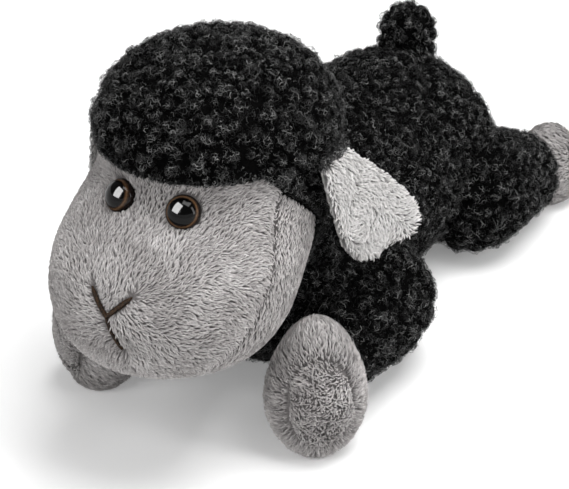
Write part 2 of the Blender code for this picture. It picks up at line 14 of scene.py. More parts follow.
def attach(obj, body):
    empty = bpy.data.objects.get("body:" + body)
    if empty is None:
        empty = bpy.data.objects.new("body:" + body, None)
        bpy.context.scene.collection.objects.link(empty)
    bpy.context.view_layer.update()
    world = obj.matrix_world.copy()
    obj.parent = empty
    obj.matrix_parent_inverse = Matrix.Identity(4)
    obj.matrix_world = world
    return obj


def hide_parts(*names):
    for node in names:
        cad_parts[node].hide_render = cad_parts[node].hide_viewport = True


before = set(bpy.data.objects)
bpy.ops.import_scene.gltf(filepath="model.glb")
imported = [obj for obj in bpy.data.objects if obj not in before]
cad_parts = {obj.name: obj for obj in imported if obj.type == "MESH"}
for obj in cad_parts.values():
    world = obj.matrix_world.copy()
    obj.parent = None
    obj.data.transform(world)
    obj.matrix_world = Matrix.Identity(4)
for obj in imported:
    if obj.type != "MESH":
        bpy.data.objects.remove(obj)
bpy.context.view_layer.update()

# The part's own front lies this far from where its source draws it
SHIFT = np.array([0.0, -0.0130535, 0.0])

# Head
HEAD_HEIGHT = 0.0975
HEAD_WIDTH = 0.084
HEAD_DEPTH = 0.098
CHIN_Z = 0.0445
HEAD_AXIS_Y = -0.056
CAP_EDGE_Z = 0.1110
TEMPLE_CUT = 0.0210
FACE_SEAM_Y = -0.0859
FACE_SEAM_Z = 0.0906
FACE_SEAM_LEAN = 0.77
THROAT_SEAM_Y = -0.061
CAP_RISE = 0.0012

# Eyes, nose and mouth
EYE_RADIUS = 0.0060
EYE_DOME = 0.0050
EYE_SPREAD = 0.0240
EYE_Z = 0.1030
EYE_SEAT = 0.0010
EYE_WALL = 0.0008
NOSE_Z = 0.0760
NOSE_ARM_RISE = 0.0074
NOSE_ARM_REACH = 0.0077
MOUTH_LENGTH = 0.0115
MOUTH_LEAN = 0.0055
CREASE = (0.0075, 0.0555)
FLEECE_FROM_EYE = 0.0030
CLOTH_FROM_EYE = 0.0040

# Ears
EAR_LENGTH = 0.0505
EAR_WIDTH = 0.039
EAR_HALF_THICKNESS = 0.00205
EAR_CUP = 0.0040
EAR_TWIST = 0.0035
EAR_ROOT = (0.04298, -0.055, 0.110)
EAR_SPLAY = 0.012
EAR_SWEEP = 0.024

# Body, neck and tail
BODY_LENGTH = 0.189
BODY_WIDTH = 0.080
BODY_HEIGHT = 0.0825
BODY_FRONT_Y = -0.058
BELLY_SEAM_Z = 0.015
FLOOR_CUT = 0.0005
NECK_RADIUS = 0.036
NECK = (0.0, -0.024, 0.046)
TAIL_LENGTH = 0.040
TAIL_WIDTH = 0.023
TAIL_ROOT = (0.0, 0.100, 0.070)

# Legs: hip, sleeve width, foot place, foot width, depth and height, turn, and way along Y
LEGS = {
    "front": ((0.038, -0.006, 0.027), 0.045, (0.0455, -0.0685), 0.033, 0.031, 0.054, 36, -1),
    "hind": ((0.036, 0.092, 0.027), 0.051, (0.049, 0.145), 0.029, 0.029, 0.034, -20, 1),
}
ANKLE_SHARE = 0.225
SOLE_WIDTH_SHARE = 0.72
SOLE_HEIGHT_SHARE = 0.66
SOLE_CENTRE_SHARE = 0.49

# Rows of shares: of the length, width and depth, and how far the middle lies through the form
HEAD_SHARES = (
    (0.00, 1.90, 1.62, -0.342), (0.04, 1.74, 1.50, -0.340), (0.10, 1.46, 1.27, -0.336),
    (0.19, 1.24, 1.13, -0.314), (0.29, 1.11, 1.07, -0.283), (0.39, 1.03, 1.05, -0.219),
    (0.49, 0.96, 1.01, -0.117), (0.59, 0.94, 0.94, -0.014), (0.69, 1.01, 0.98, 0.006),
    (0.78, 1.11, 1.05, 0.005), (0.88, 1.22, 1.12, 0.005), (1.00, 1.32, 1.20, 0.005),
)
BODY_SHARES = (
    (0.00, 1.48, 1.43, 0.046), (0.07, 1.46, 1.42, 0.046), (0.18, 1.18, 1.32, 0.000),
    (0.30, 1.09, 1.11, 0.001), (0.50, 1.02, 1.02, 0.0025), (0.66, 1.08, 1.08, 0.0035),
    (0.81, 1.34, 1.25, -0.012), (0.92, 1.56, 1.44, -0.058), (1.00, 1.66, 1.52, -0.070),
)
LEG_SHARES = (
    (0.00, 1.30, 1.30, 0.0), (0.28, 1.10, 1.10, 0.0), (0.50, 0.90, 0.90, 0.0),
    (0.70, 0.82, 0.82, 0.0), (0.85, 0.90, 0.90, 0.0), (1.00, 0.96, 0.96, 0.0),
)
FOOT_SHARES = (
    (0.00, 1.08, 1.12, 0.00), (0.30, 1.08, 1.08, 0.02), (0.55, 1.00, 1.00, 0.00),
    (0.80, 0.88, 0.88, -0.02), (1.00, 0.84, 0.84, -0.04),
)
TAIL_SHARES = (
    (0.00, 1.30, 1.30, 0.00), (0.30, 0.98, 0.92, 0.00), (0.62, 1.06, 0.90, 0.04),
    (0.85, 1.22, 1.00, 0.06), (1.00, 1.30, 1.06, 0.06),
)
EAR_SHARES = ((0.00, 0.42), (0.25, 0.68), (0.50, 0.90), (0.75, 1.00), (0.90, 0.82), (1.00, 0.40))

# How deep and how wide the stitching, the eyes and the seams pull the plush in
NOSE_DENT = (0.0011, 0.0015)
CHIN_DENT = (0.0010, 0.0012)
EYE_DENT = (0.0008, 0.0022)
SEAM_DENT = (0.0015, 0.0009)
SOLE_DENT = (0.0012, 0.0013)

SIDES = {"left": 1, "right": -1}
LEFT, BACK, UP = np.eye(3)
outer = np.multiply.outer
FLOOR_GAP = 0.00015


# Vectors, curves and noise
def unit(v):
    return v / np.maximum(np.linalg.norm(v, axis=-1, keepdims=True), 1e-12)


def dot(a, b):
    return (a * b).sum(-1)


def smooth(x, low, high):
    t = np.clip((x - low) / (high - low), 0, 1)
    return t * t * (3 - 2 * t)


def curve(rows, column, at):
    """A column of a table of shares at some shares of the length, on a smooth curve."""
    s = np.array([row[0] for row in rows])
    v = np.array([row[column] for row in rows])
    g = np.gradient(v, s)
    k = np.clip(np.searchsorted(s, at) - 1, 0, len(s) - 2)
    h = s[k + 1] - s[k]
    t = (at - s[k]) / h
    start = (1 + 2 * t) * (1 - t) ** 2 * v[k] + t * (1 - t) ** 2 * h * g[k]
    return start + t * t * (3 - 2 * t) * v[k + 1] + t * t * (t - 1) * h * g[k + 1]


def around(count):
    return np.linspace(0, 2 * math.pi, count, endpoint=False)


def bell(away, height, width):
    return height * np.exp(-(away / width) ** 2)


def turned(ways, normals, angle):
    """Ways along a cloth, each turned by its angle about its normal."""
    return ways * np.cos(angle)[:, None] + np.cross(normals, ways) * np.sin(angle)[:, None]


def even_places(count):
    """Numbered places that fill a square evenly once they are wrapped into it."""
    number = np.arange(count)
    return 0.5 + 0.7548776662466927 * number, 0.5 + 0.5698402909980532 * number


def noise(points, scale, seed):
    """Smooth noise from -1 to 1 with features of about that size."""
    waves = 14
    rng = np.random.default_rng(seed)
    k = unit(rng.normal(size=(waves, 3))) * (2 * math.pi / scale) * rng.uniform(0.35, 0.75, (waves, 1))
    return np.sin(points @ k.T + rng.uniform(0, 2 * math.pi, waves)).sum(1) / math.sqrt(waves) * 0.9


# Forms
class Form:
    """A soft form of the part: a ball whose rings follow rows of shares."""

    def __init__(self, start, along, across, through, width, depth, rows):
        self.start, self.along, self.across, self.through = start + SHIFT, along, across, through
        self.width, self.depth, self.rows = width, depth, rows

    def place(self, theta, phi):
        at = (1 - np.cos(theta)) / 2
        ring = np.sin(theta)
        x = ring * np.cos(phi) * curve(self.rows, 1, at) / 2
        y = ring * np.sin(phi) * curve(self.rows, 2, at) / 2 + curve(self.rows, 3, at)
        middle = self.start + outer(at, self.along)
        return middle + outer(x * self.width, self.across) + outer(y * self.depth, self.through)

    def normal(self, theta, phi):
        step = 1e-3
        theta = np.clip(theta, 2 * step, math.pi - 2 * step)
        down = self.place(theta + step, phi) - self.place(theta - step, phi)
        round_ = self.place(theta, phi + step) - self.place(theta, phi - step)
        out = unit(np.cross(round_, down))
        middle = self.place(theta, phi) - self.place(theta, phi + math.pi)
        return out * np.where(dot(out, middle) < 0, -1.0, 1.0)[..., None]

    def reach(self, points):
        """How far out a point lies, as a share: under 1 is inside."""
        rel = points - self.start
        at = dot(rel, self.along) / dot(self.along, self.along)
        safe = np.clip(at, 1e-4, 1 - 1e-4)
        ring = 2 * np.sqrt(safe * (1 - safe))
        x = dot(rel, self.across) / self.width * 2 / curve(self.rows, 1, safe)
        y = (dot(rel, self.through) / self.depth - curve(self.rows, 3, safe)) * 2 / curve(self.rows, 2, safe)
        return np.where((at > 0) & (at < 1), np.hypot(x, y) / ring, 9.0)

    def grid(self, rings, sides):
        theta, phi = np.meshgrid(np.linspace(0.004, math.pi - 0.004, rings), around(sides), indexing="ij")
        return self.place(theta, phi), self.normal(theta, phi)

    def scatter(self, spacing, seed, keep, uneven=0.42):
        """Even places that keep accepts, about one to a square of that spacing, with their normals."""
        rng = np.random.default_rng(seed)
        rings, sides = 100, 120
        theta = np.linspace(0, math.pi, rings + 1)
        phi = np.linspace(0, 2 * math.pi, sides + 1)
        p = self.place(*np.meshgrid(theta, phi, indexing="ij"))
        area = np.linalg.norm(np.cross(p[1:, 1:] - p[:-1, :-1], p[1:, :-1] - p[:-1, 1:]), axis=-1) / 2
        count = int(area.sum() / spacing ** 2)
        u, v = even_places(count)
        jitter = rng.uniform(-uneven, uneven, (2, count)) / math.sqrt(count)
        u = (u + jitter[0]) % 1
        v = (v + jitter[1]) % 1
        rows = np.concatenate([[0], area.sum(1).cumsum()]) / area.sum()
        row = np.clip(np.searchsorted(rows, u) - 1, 0, rings - 1)
        t = theta[row] + (u - rows[row]) / (rows[row + 1] - rows[row]) * (theta[1] - theta[0])
        columns = np.concatenate([np.zeros((rings, 1)), area.cumsum(1)], 1) / area.sum(1)[:, None]
        column = np.array([np.searchsorted(columns[r], x) - 1 for r, x in zip(row, v)]).clip(0, sides - 1)
        low, high = columns[row, column], columns[row, column + 1]
        f = phi[column] + (v - low) / (high - low) * (phi[1] - phi[0])
        places = self.place(t, f)
        good = keep(places)
        return places[good], self.normal(t, f)[good]


def edge_places(form, edge, offset, spacing):
    """Places a spacing apart along a form's upper edge, where the edge's distance is the offset."""
    count = 900
    theta, phi = np.meshgrid(np.linspace(math.pi - 0.05, 0.8, count), around(count), indexing="ij")
    outside = edge(form.place(theta, phi).reshape(-1, 3)).reshape(theta.shape) < offset
    row = outside.argmax(0)
    found = outside.any(0)
    order = [k for k in np.roll(np.arange(count), -int(np.argmin(found))) if found[k]]
    on_edge = theta[row[order], 0], phi[0, order]
    spots, normals = form.place(*on_edge), form.normal(*on_edge)
    steps = np.linalg.norm(np.diff(spots, axis=0), axis=1)
    marks = np.concatenate([[0], steps.cumsum()])
    chosen = np.searchsorted(marks, np.arange(0, marks[-1], spacing)).clip(0, len(spots) - 1)
    return spots[chosen], normals[chosen]


head = Form(
    np.array([0, HEAD_AXIS_Y, CHIN_Z]), UP * HEAD_HEIGHT, LEFT, BACK, HEAD_WIDTH, HEAD_DEPTH, HEAD_SHARES)
body = Form(
    np.array([0, BODY_FRONT_Y, BODY_HEIGHT / 2 - FLOOR_CUT]), BACK * BODY_LENGTH, LEFT, UP,
    BODY_WIDTH, BODY_HEIGHT, BODY_SHARES)
neck = Form(
    np.array(NECK) - UP * NECK_RADIUS, UP * 2 * NECK_RADIUS, LEFT, BACK, 2 * NECK_RADIUS, 2 * NECK_RADIUS,
    ((0.0, 1.0, 1.0, 0.0), (1.0, 1.0, 1.0, 0.0)))
tail = Form(
    np.array(TAIL_ROOT) - UP * TAIL_WIDTH / 2, UP * TAIL_LENGTH, LEFT, BACK, TAIL_WIDTH, TAIL_WIDTH,
    TAIL_SHARES)


class Leg:
    """A sleeve and a foot, with the oval sole panel's frame."""

    def __init__(self, kind, side):
        hip, width, foot, foot_width, foot_depth, foot_height, turn, way = LEGS[kind]
        hip = hip * np.array([side, 1, 1])
        angle = math.radians(turn)
        self.way = np.array([-math.sin(angle) * way * side, math.cos(angle) * way, 0])
        self.across = np.cross(self.way, UP)
        base = np.array([foot[0] * side, foot[1], -FLOOR_CUT])
        ankle = base + UP * foot_height / 2 - self.way * foot_depth * ANKLE_SHARE
        run = unit(ankle - hip)
        start = hip - run * width / 2
        sideways = unit(np.cross(run, UP))
        self.sleeve = Form(start, ankle - start, sideways, np.cross(sideways, run), width, width, LEG_SHARES)
        self.foot = Form(base, UP * foot_height, self.across, -self.way, foot_width, foot_depth, FOOT_SHARES)
        self.middle = base + SHIFT + UP * foot_height * SOLE_CENTRE_SHARE
        self.sole_size = (foot_width * SOLE_WIDTH_SHARE / 2, foot_height * SOLE_HEIGHT_SHARE / 2)

    def sole_edge(self, points):
        """Signed distance to the sole's seam, positive on the rest of the foot."""
        rel = points - self.middle
        out = np.hypot(dot(rel, self.across) / self.sole_size[0], rel[..., 2] / self.sole_size[1])
        edge = (out - 1) * np.mean(self.sole_size)
        return np.where(dot(rel, self.way) > 0, edge, np.maximum(edge, 0.004))


legs = {(kind, word): Leg(kind, side) for kind in LEGS for word, side in SIDES.items()}


def head_front(x, z):
    """The front of the head at a distance across and a height."""
    share = (z - CHIN_Z) / HEAD_HEIGHT
    circle = np.sqrt(share * (1 - share))
    reach = HEAD_WIDTH * curve(HEAD_SHARES, 1, share) * circle
    depth = HEAD_DEPTH * curve(HEAD_SHARES, 2, share) * circle
    y = HEAD_AXIS_Y + HEAD_DEPTH * curve(HEAD_SHARES, 3, share) - depth * np.sqrt(1 - (x / reach) ** 2)
    return np.stack([x, y, z], -1) + SHIFT


def head_normal(x, z):
    step = 1e-4
    place = head_front(x, z)
    return unit(np.cross(head_front(x + step, z) - place, head_front(x, z + step) - place))


# The nose and mouth as runs of (across, height), and the crease in the chin under them
NOSE_LINES = (
    ((-NOSE_ARM_REACH, NOSE_Z + NOSE_ARM_RISE), (0.0, NOSE_Z)),
    ((0.0, NOSE_Z), (NOSE_ARM_REACH, NOSE_Z + NOSE_ARM_RISE)),
    ((0.0, NOSE_Z), (MOUTH_LEAN, NOSE_Z - MOUTH_LENGTH)),
)
CHIN_LINE = (NOSE_LINES[2][1], CREASE)


def face_edge(points):
    """Signed distance into the face, from its leaning seam with the throat band."""
    seam = FACE_SEAM_Y + SHIFT[1] + FACE_SEAM_LEAN * (points[..., 2] - FACE_SEAM_Z)
    return (seam - points[..., 1]) / math.hypot(1, FACE_SEAM_LEAN)


def line_distance(points, line):
    a, b = np.array(line[0]), np.array(line[1])
    rel = points[..., [0, 2]] - a
    t = np.clip(dot(rel, b - a) / dot(b - a, b - a), 0, 1)
    away = np.linalg.norm(rel - t[..., None] * (b - a), axis=-1)
    return np.where(face_edge(points) > 0, away, 1.0)


def nose_distance(points):
    return np.min([line_distance(points, line) for line in NOSE_LINES], axis=0)


EYES = {}
for word, side in SIDES.items():
    spot = np.array(EYE_SPREAD / 2 * side), np.array(EYE_Z)
    out = head_normal(*spot)
    EYES[word] = (head_front(*spot) - out * EYE_SEAT, out)


def eye_distance(points):
    """Distance from the nearer eye's axis, on the front of the head."""
    away = []
    for base, out in EYES.values():
        rel = points - base
        along = dot(rel, out)
        aside = np.linalg.norm(rel - along[..., None] * out, axis=-1)
        away.append(np.where(np.abs(along) < 0.02, aside, 1.0))
    return np.min(away, axis=0)


def cap_edge(points):
    """Signed distance into the cap from its edge, which comes down at the temples."""
    over = points[..., 2] - CAP_EDGE_Z
    behind = points[..., 1] - (THROAT_SEAM_Y + SHIFT[1])
    return np.maximum(np.maximum(over, behind), (over + behind + TEMPLE_CUT) * math.sqrt(0.5))


def head_dent(points):
    """How far the stitching, the eyes and the seam pull the plush in."""
    dent = bell(nose_distance(points), *NOSE_DENT)
    dent += bell(line_distance(points, CHIN_LINE), *CHIN_DENT)
    dent += bell((eye_distance(points) - EYE_RADIUS).clip(0), *EYE_DENT)
    deeper_above = 0.45 + 0.55 * smooth(points[..., 2], 0.066, 0.088)
    dent += bell(face_edge(points), *SEAM_DENT) * deeper_above
    return dent


# Meshes
MAP_NAME = "OFBake"


def linked(name, data):
    """An object with that data, in the scene."""
    obj = bpy.data.objects.new(name, data)
    bpy.context.scene.collection.objects.link(obj)
    return obj


def make_mesh(name, verts, triangles, uv=None):
    """A smooth object of triangles, with a place in the map for each corner if given."""
    mesh = bpy.data.meshes.new(name)
    mesh.vertices.add(len(verts))
    mesh.vertices.foreach_set("co", np.ascontiguousarray(verts, np.float32).ravel())
    mesh.loops.add(len(triangles) * 3)
    mesh.loops.foreach_set("vertex_index", triangles.astype(np.int32).ravel())
    mesh.polygons.add(len(triangles))
    mesh.polygons.foreach_set("loop_start", np.arange(0, len(triangles) * 3, 3, dtype=np.int32))
    mesh.update(calc_edges=True)
    if uv is not None:
        layer = mesh.uv_layers.new(name=MAP_NAME)
        layer.uv.foreach_set("vector", uv[triangles.ravel()].astype(np.float32).ravel())
    mesh.shade_smooth()
    return linked(name, mesh)


def quads(a, b, c, d):
    """Two triangles for each four-cornered face, whose corners a, b, c and d go round it."""
    return np.concatenate([np.stack([a, b, c], -1).reshape(-1, 3), np.stack([a, c, d], -1).reshape(-1, 3)])


def above_floor(points):
    return np.maximum(points, (-np.inf, -np.inf, FLOOR_GAP))


def skin(name, form, rings, sides, moved, keep):
    """The cloth itself: the form's grid, moved out along its normals, where keep is positive."""
    p, n = form.grid(rings, sides)
    flat, normals = p.reshape(-1, 3), n.reshape(-1, 3)
    index = np.arange(rings * sides).reshape(rings, sides)
    a, b = index[:-1], index[1:]
    a2, b2 = np.roll(a, -1, 1), np.roll(b, -1, 1)
    poles = []
    for ring, turn in ((index[0], 1), (index[-1], -1)):
        fan = np.stack([np.full(sides - 2, ring[0]), ring[2:], ring[1:-1]], -1)
        poles.append(fan[:, ::turn])
    triangles = np.concatenate([quads(a, a2, b2, b), *poles])
    good = keep(flat) > 0
    triangles = triangles[good[triangles].any(1)]
    used = np.unique(triangles)
    place = np.zeros(len(flat), int)
    place[used] = np.arange(len(used))
    corners = flat[used] + normals[used] * moved(flat[used])[:, None]
    made = make_mesh(name, above_floor(corners), place[triangles])
    first = corners[place[triangles[0]]].mean(0)
    if dot(np.array(made.data.polygons[0].normal), first - form.start - form.along / 2) < 0:
        made.data.flip_normals()
    return made


# Strands
def ribbons(name, path, side, width, shade):
    """Flat tapered strands: path and side are (strands, points, 3), and width is (strands, points)."""
    strands, points = path.shape[:2]
    path = above_floor(path)
    half = side * width[..., None] / 2
    edges = np.stack([path - half, path + half], 2)[:, :-1].reshape(strands, -1, 3)
    verts = np.concatenate([edges, path[:, -1:]], 1)
    base = []
    for k in range(points - 2):
        base += [(2 * k, 2 * k + 1, 2 * k + 3), (2 * k, 2 * k + 3, 2 * k + 2)]
    tip = 2 * (points - 1)
    base.append((tip - 2, tip - 1, tip))
    triangles = (np.arange(strands)[:, None, None] * (tip + 1) + np.array(base)).reshape(-1, 3)
    map_reach = 0.012
    along = np.append(np.repeat(np.arange(points - 1), 2), points - 1) / (points - 1)
    apart = np.append(np.tile([-map_reach, map_reach], points - 1), 0.0)
    across = np.clip(shade, 0.03, 0.97)[:, None] + apart
    uv = np.stack([across.ravel(), np.tile(along, strands)], 1)
    return make_mesh(name, verts.reshape(-1, 3), triangles, np.clip(uv, 0.01, 0.99))


def strand_faces(points):
    return 2 * points - 3


Pile = namedtuple("Pile", "spacing length height width strands spread wander")

# Steps along a strand of pile: how high each lies, how wide it is, and how near the strands of a tuft are
TUFT_STEPS = np.array([0.0, 0.45, 1.0])
TUFT_RISE = np.array([-0.5, 0.86, 0.84])
TUFT_WIDTH = np.array([0.9, 1.0, 0.0])
TUFT_MEET = 1 - 0.72 * TUFT_STEPS


def tufts(name, roots, normals, ways, length, pile, seed):
    """Combed plush: tufts of strands that rise from the cloth, lie over along it and meet at their tips."""
    rng = np.random.default_rng(seed)
    count = len(roots)
    ways = unit(ways - dot(ways, normals)[:, None] * normals)
    ways = turned(ways, normals, rng.normal(0, pile.wander, count))
    sideways = np.cross(normals, ways)
    length = length * rng.uniform(0.75, 1.25, count)
    height = pile.height * rng.uniform(0.60, 1.40, count)
    bend = rng.normal(0, 0.22, count) * length

    def each(values):
        return np.repeat(values, pile.strands, axis=0)

    total = count * pile.strands
    across = rng.uniform(-1, 1, total) * pile.spread
    along = rng.uniform(-1, 1, total) * pile.spread
    longer = each(length) * rng.uniform(0.85, 1.15, total)
    higher = each(height) * rng.uniform(0.8, 1.2, total)
    run = longer[:, None] * TUFT_STEPS + along[:, None] * TUFT_MEET
    aside = across[:, None] * TUFT_MEET + each(bend)[:, None] * TUFT_STEPS ** 2
    path = each(roots)[:, None] + each(ways)[:, None] * run[..., None]
    path += each(sideways)[:, None] * aside[..., None]
    path += each(normals)[:, None] * (higher[:, None] * TUFT_RISE)[..., None]
    roll = rng.normal(0, 0.5, total)[:, None, None]
    side = each(sideways)[:, None] * np.cos(roll) + each(normals)[:, None] * np.sin(roll)
    side = np.broadcast_to(side, path.shape)
    thick = pile.width * TUFT_WIDTH * rng.uniform(0.8, 1.2, (total, 1))
    shade = 0.5 + 0.15 * rng.normal(size=count) + 0.13 * noise(roots, 0.012, seed + 5)
    shade = each(shade) + 0.10 * rng.normal(size=total)
    return ribbons(name, path, side, thick, shade)


FLEECE_CURL = 0.00038
FIBRE_WIDTH = 0.00017
LOCK_POINTS = 10
WISP_POINTS = 8
FINE_CURL_SHARE = 0.42
STRAY_SHARE = 0.05
STRAY_RISE = 1.9
# Fibre tones, dark, middle and light, and how often each comes: the light fibres are painted glints in place
# of shine on the fibres
FIBRE_TONES_AND_PAINTED_GLINTS = (0.16, 0.48, 0.82)
TONE_AND_GLINT_CHANCES = (0.34, 0.44, 0.22)


def locks(
        name, centres, normals, size, fibres, seed, points=LOCK_POINTS, curl=FLEECE_CURL, width=FIBRE_WIDTH):
    """Crimped fleece: fibres that run over the top of each small lump in open, uneven curls."""
    rng = np.random.default_rng(seed)
    total = len(centres) * fibres
    n = np.repeat(normals, fibres, axis=0)
    spin = unit(np.cross(n, unit(rng.normal(size=(total, 3)))))
    tilt = np.arccos(rng.uniform(-0.05, 1.0, total))[:, None]
    out = n * np.cos(tilt) + spin * np.sin(tilt)
    ahead = unit(np.cross(out, unit(rng.normal(size=(total, 3)))))
    aside = np.cross(out, ahead)
    radius = np.repeat(size, fibres) * rng.uniform(0.80, 1.0, total)
    stray = rng.uniform(size=total) > 1 - STRAY_SHARE
    t = np.linspace(0, 1, points)
    reach = rng.uniform(0.9, 1.7, total)
    angle = (t - rng.uniform(0.2, 0.8, (total, 1))) * reach[:, None]
    waves = 0.0
    crimps = ((rng.uniform(0.8, 1.5, total), 1.0), (rng.uniform(1.8, 2.8, total), FINE_CURL_SHARE))
    for turns, share in crimps:
        phase = rng.uniform(0, 2 * math.pi, total)[:, None] + 2 * math.pi * turns[:, None] * t
        late = phase + rng.normal(math.pi / 2, 0.5, total)[:, None]
        swing = (curl * share * rng.uniform(0.5, 1.3, total))[:, None]
        waves = waves + np.stack([np.sin(phase) * swing, np.sin(late) * swing], -1)
    rise = np.where(stray, STRAY_RISE, 0.0)[:, None] * swing / FINE_CURL_SHARE
    lift = radius[:, None] + 0.6 * waves[..., 1] + rise
    over = out[:, None] * np.cos(angle)[..., None] + ahead[:, None] * np.sin(angle)[..., None]
    path = np.repeat(centres, fibres, axis=0)[:, None] + over * lift[..., None]
    path += aside[:, None] * waves[..., :1]
    forward = np.gradient(path, axis=1)
    side = unit(np.cross(forward, np.broadcast_to(out[:, None], forward.shape)) + 1e-9)
    thick = width * np.sqrt(np.clip(1.02 - t, 0, 1)) * rng.uniform(0.7, 1.3, (total, 1))
    shade = 0.05 * rng.normal(size=len(centres)) + 0.05 * noise(centres, 0.02, seed + 3)
    # Painted glints: the light class of fibres stands in for shine, while the dark and middle classes are the
    # fleece's own tones
    kind = rng.choice(FIBRE_TONES_AND_PAINTED_GLINTS, total, p=TONE_AND_GLINT_CHANCES)
    # Painted shade: fibres that lie low on a lump, down in the crevices between lumps, are darker
    shade = np.repeat(shade, fibres) + kind + 0.07 * rng.normal(size=total) - 0.14 * tilt[:, 0] ** 2
    return ribbons(name, path, side, thick, shade)


# Coverings are split so that no piece has more faces than about this
MOST_FACES = 190000


def in_parts(name, make, arrays, faces_each):
    """Makes a covering in as many pieces as keep each under the most faces."""
    parts = max(1, math.ceil(len(arrays[0]) * faces_each / MOST_FACES))
    order = np.argsort(arrays[0][:, 1], kind="stable")
    for number, chosen in enumerate(np.array_split(order, parts), 1):
        label = name if parts == 1 else f"{name}_{number}"
        make(label, number, *[array[chosen] for array in arrays])


# Materials
def shader_material(name, roughness, specular, sheen=0.0, sheen_roughness=0.5, sheen_tint=1.0):
    made = bpy.data.materials.new(name)
    made.use_nodes = True
    shader = made.node_tree.nodes["Principled BSDF"]
    shader.inputs["Roughness"].default_value = roughness
    shader.inputs["Specular IOR Level"].default_value = specular
    shader.inputs["Sheen Weight"].default_value = sheen
    shader.inputs["Sheen Roughness"].default_value = sheen_roughness
    shader.inputs["Sheen Tint"].default_value = (*grey(sheen_tint), 1)
    return made, made.node_tree.nodes, made.node_tree.links, shader


def add_node(nodes, kind, **values):
    node = nodes.new("ShaderNode" + kind)
    for socket, value in values.items():
        node.inputs[socket].default_value = value
    return node


def grey(value):
    return (value, value, value)


def ramp_node(nodes, stops):
    ramp = add_node(nodes, "ValToRGB")
    while len(ramp.color_ramp.elements) < len(stops):
        ramp.color_ramp.elements.new(0.5)
    for element, (at, colour) in zip(ramp.color_ramp.elements, stops):
        element.position = at
        element.color = (*colour, 1)
    return ramp


def map_place(nodes, links):
    """A piece's place in its map, whole and split in across and up."""
    place = add_node(nodes, "UVMap")
    place.uv_map = MAP_NAME
    split = add_node(nodes, "SeparateXYZ")
    links.new(place.outputs[0], split.inputs[0])
    return place.outputs[0], split.outputs


def strand_material(name, dark, middle, light, painted_root_shade, roughness=0.85, sheen=0.2, sheen_tint=0.9):
    """Strands by their own tone, across the map, with painted shade that darkens them towards the root, up
    the map.
    """
    made, nodes, links, shader = shader_material(name, roughness, 0.2, sheen, 0.4, sheen_tint)
    _, split = map_place(nodes, links)
    tone = ramp_node(nodes, ((0.0, dark), (0.5, middle), (1.0, light)))
    links.new(split[0], tone.inputs[0])
    # Painted shade: the colour darkens towards each strand's root, where the strands shade one another
    root = ramp_node(nodes, ((0.0, grey(painted_root_shade)), (0.55, grey(0.9)), (1.0, grey(1.0))))
    links.new(split[1], root.inputs[0])
    mix = add_node(nodes, "Mix")
    mix.data_type = "RGBA"
    mix.blend_type = "MULTIPLY"
    mix.inputs[0].default_value = 1.0
    links.new(tone.outputs[0], mix.inputs[6])
    links.new(root.outputs[0], mix.inputs[7])
    links.new(mix.outputs[2], shader.inputs["Base Color"])
    return made


def cloth_material(
        name, dark, light, scale, bump, sheen, roughness=0.95, specular=0.3, detail=6.0, stops=(0.30, 0.72),
        relief_depth=0.0006):
    """Cloth with a fine grain and slow changes of tone."""
    made, nodes, links, shader = shader_material(name, roughness, specular, sheen)
    place = add_node(nodes, "TexCoord")
    grain = add_node(nodes, "TexNoise", Scale=scale, Detail=detail)
    links.new(place.outputs["Object"], grain.inputs["Vector"])
    tone = ramp_node(nodes, list(zip(stops, (dark, light))))
    links.new(grain.outputs[0], tone.inputs[0])
    links.new(tone.outputs[0], shader.inputs["Base Color"])
    relief = add_node(nodes, "Bump", Strength=bump, Distance=relief_depth)
    links.new(grain.outputs[0], relief.inputs["Height"])
    links.new(relief.outputs[0], shader.inputs["Normal"])
    return made


# The last number of each pile is how dark its painted root shade makes the strands at their roots
PLUSH_STRANDS = strand_material(
    "plush_pile", (0.38, 0.357, 0.351), (0.66, 0.631, 0.624), (0.89, 0.864, 0.857), 0.48)
FOOT_STRANDS = strand_material(
    "foot_pile", (0.33, 0.309, 0.306), (0.63, 0.601, 0.594), (0.92, 0.891, 0.883), 0.42)
EAR_STRANDS = strand_material(
    "ear_pile", (0.50, 0.484, 0.476), (0.93, 0.911, 0.90), (0.99, 0.975, 0.965), 0.33, sheen_tint=0.95)
# The fleece's light tone is painted glints, standing in for shine on the fibres
FLEECE_STRANDS = strand_material(
    "fleece_fibre", grey(0.0034), (0.044, 0.044, 0.0435), (0.44, 0.44, 0.436), 0.6,
    roughness=0.5, sheen=0.0)
# Painted shade: the plush and ear cloth under the pile is much darker than the pile, so the gaps between
# tufts look shaded
PLUSH_CLOTH_PAINTED_SHADE = cloth_material("plush_cloth_painted_shade", (0.14, 0.130, 0.128), (0.21, 0.198, 0.196), 900.0, 0.5, 0.1)
EAR_CLOTH_PAINTED_SHADE = cloth_material("ear_cloth", (0.12, 0.115, 0.112), (0.19, 0.183, 0.179), 900.0, 0.5, 0.1)
FLEECE_CLOTH = cloth_material("fleece_cloth", grey(0.001), grey(0.003), 700.0, 1.0, 0.0, 1.0, 0.03)
STUFFING = cloth_material("stuffing_fibre", (0.62, 0.62, 0.60), (0.85, 0.85, 0.83), 260.0, 0.8, 0.2)
WASHER = cloth_material("washer_plastic", grey(0.66), grey(0.72), 180.0, 0.1, 0.0, 0.4)


def dress(obj, material, body_name, replaces=()):
    """Gives a piece its material and its body, and hides the parts of the model that it replaces."""
    obj.data.materials.append(material)
    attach(obj, body_name)
    if replaces:
        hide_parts(*replaces)


# Fleece: a lumpy cloth, with locks of crimped fibre on each lump and finer wisps between them
FLEECE_UNEVEN = 0.62
FRINGE_SPACING = 0.0030
FRINGE_INSIDE = 0.0024


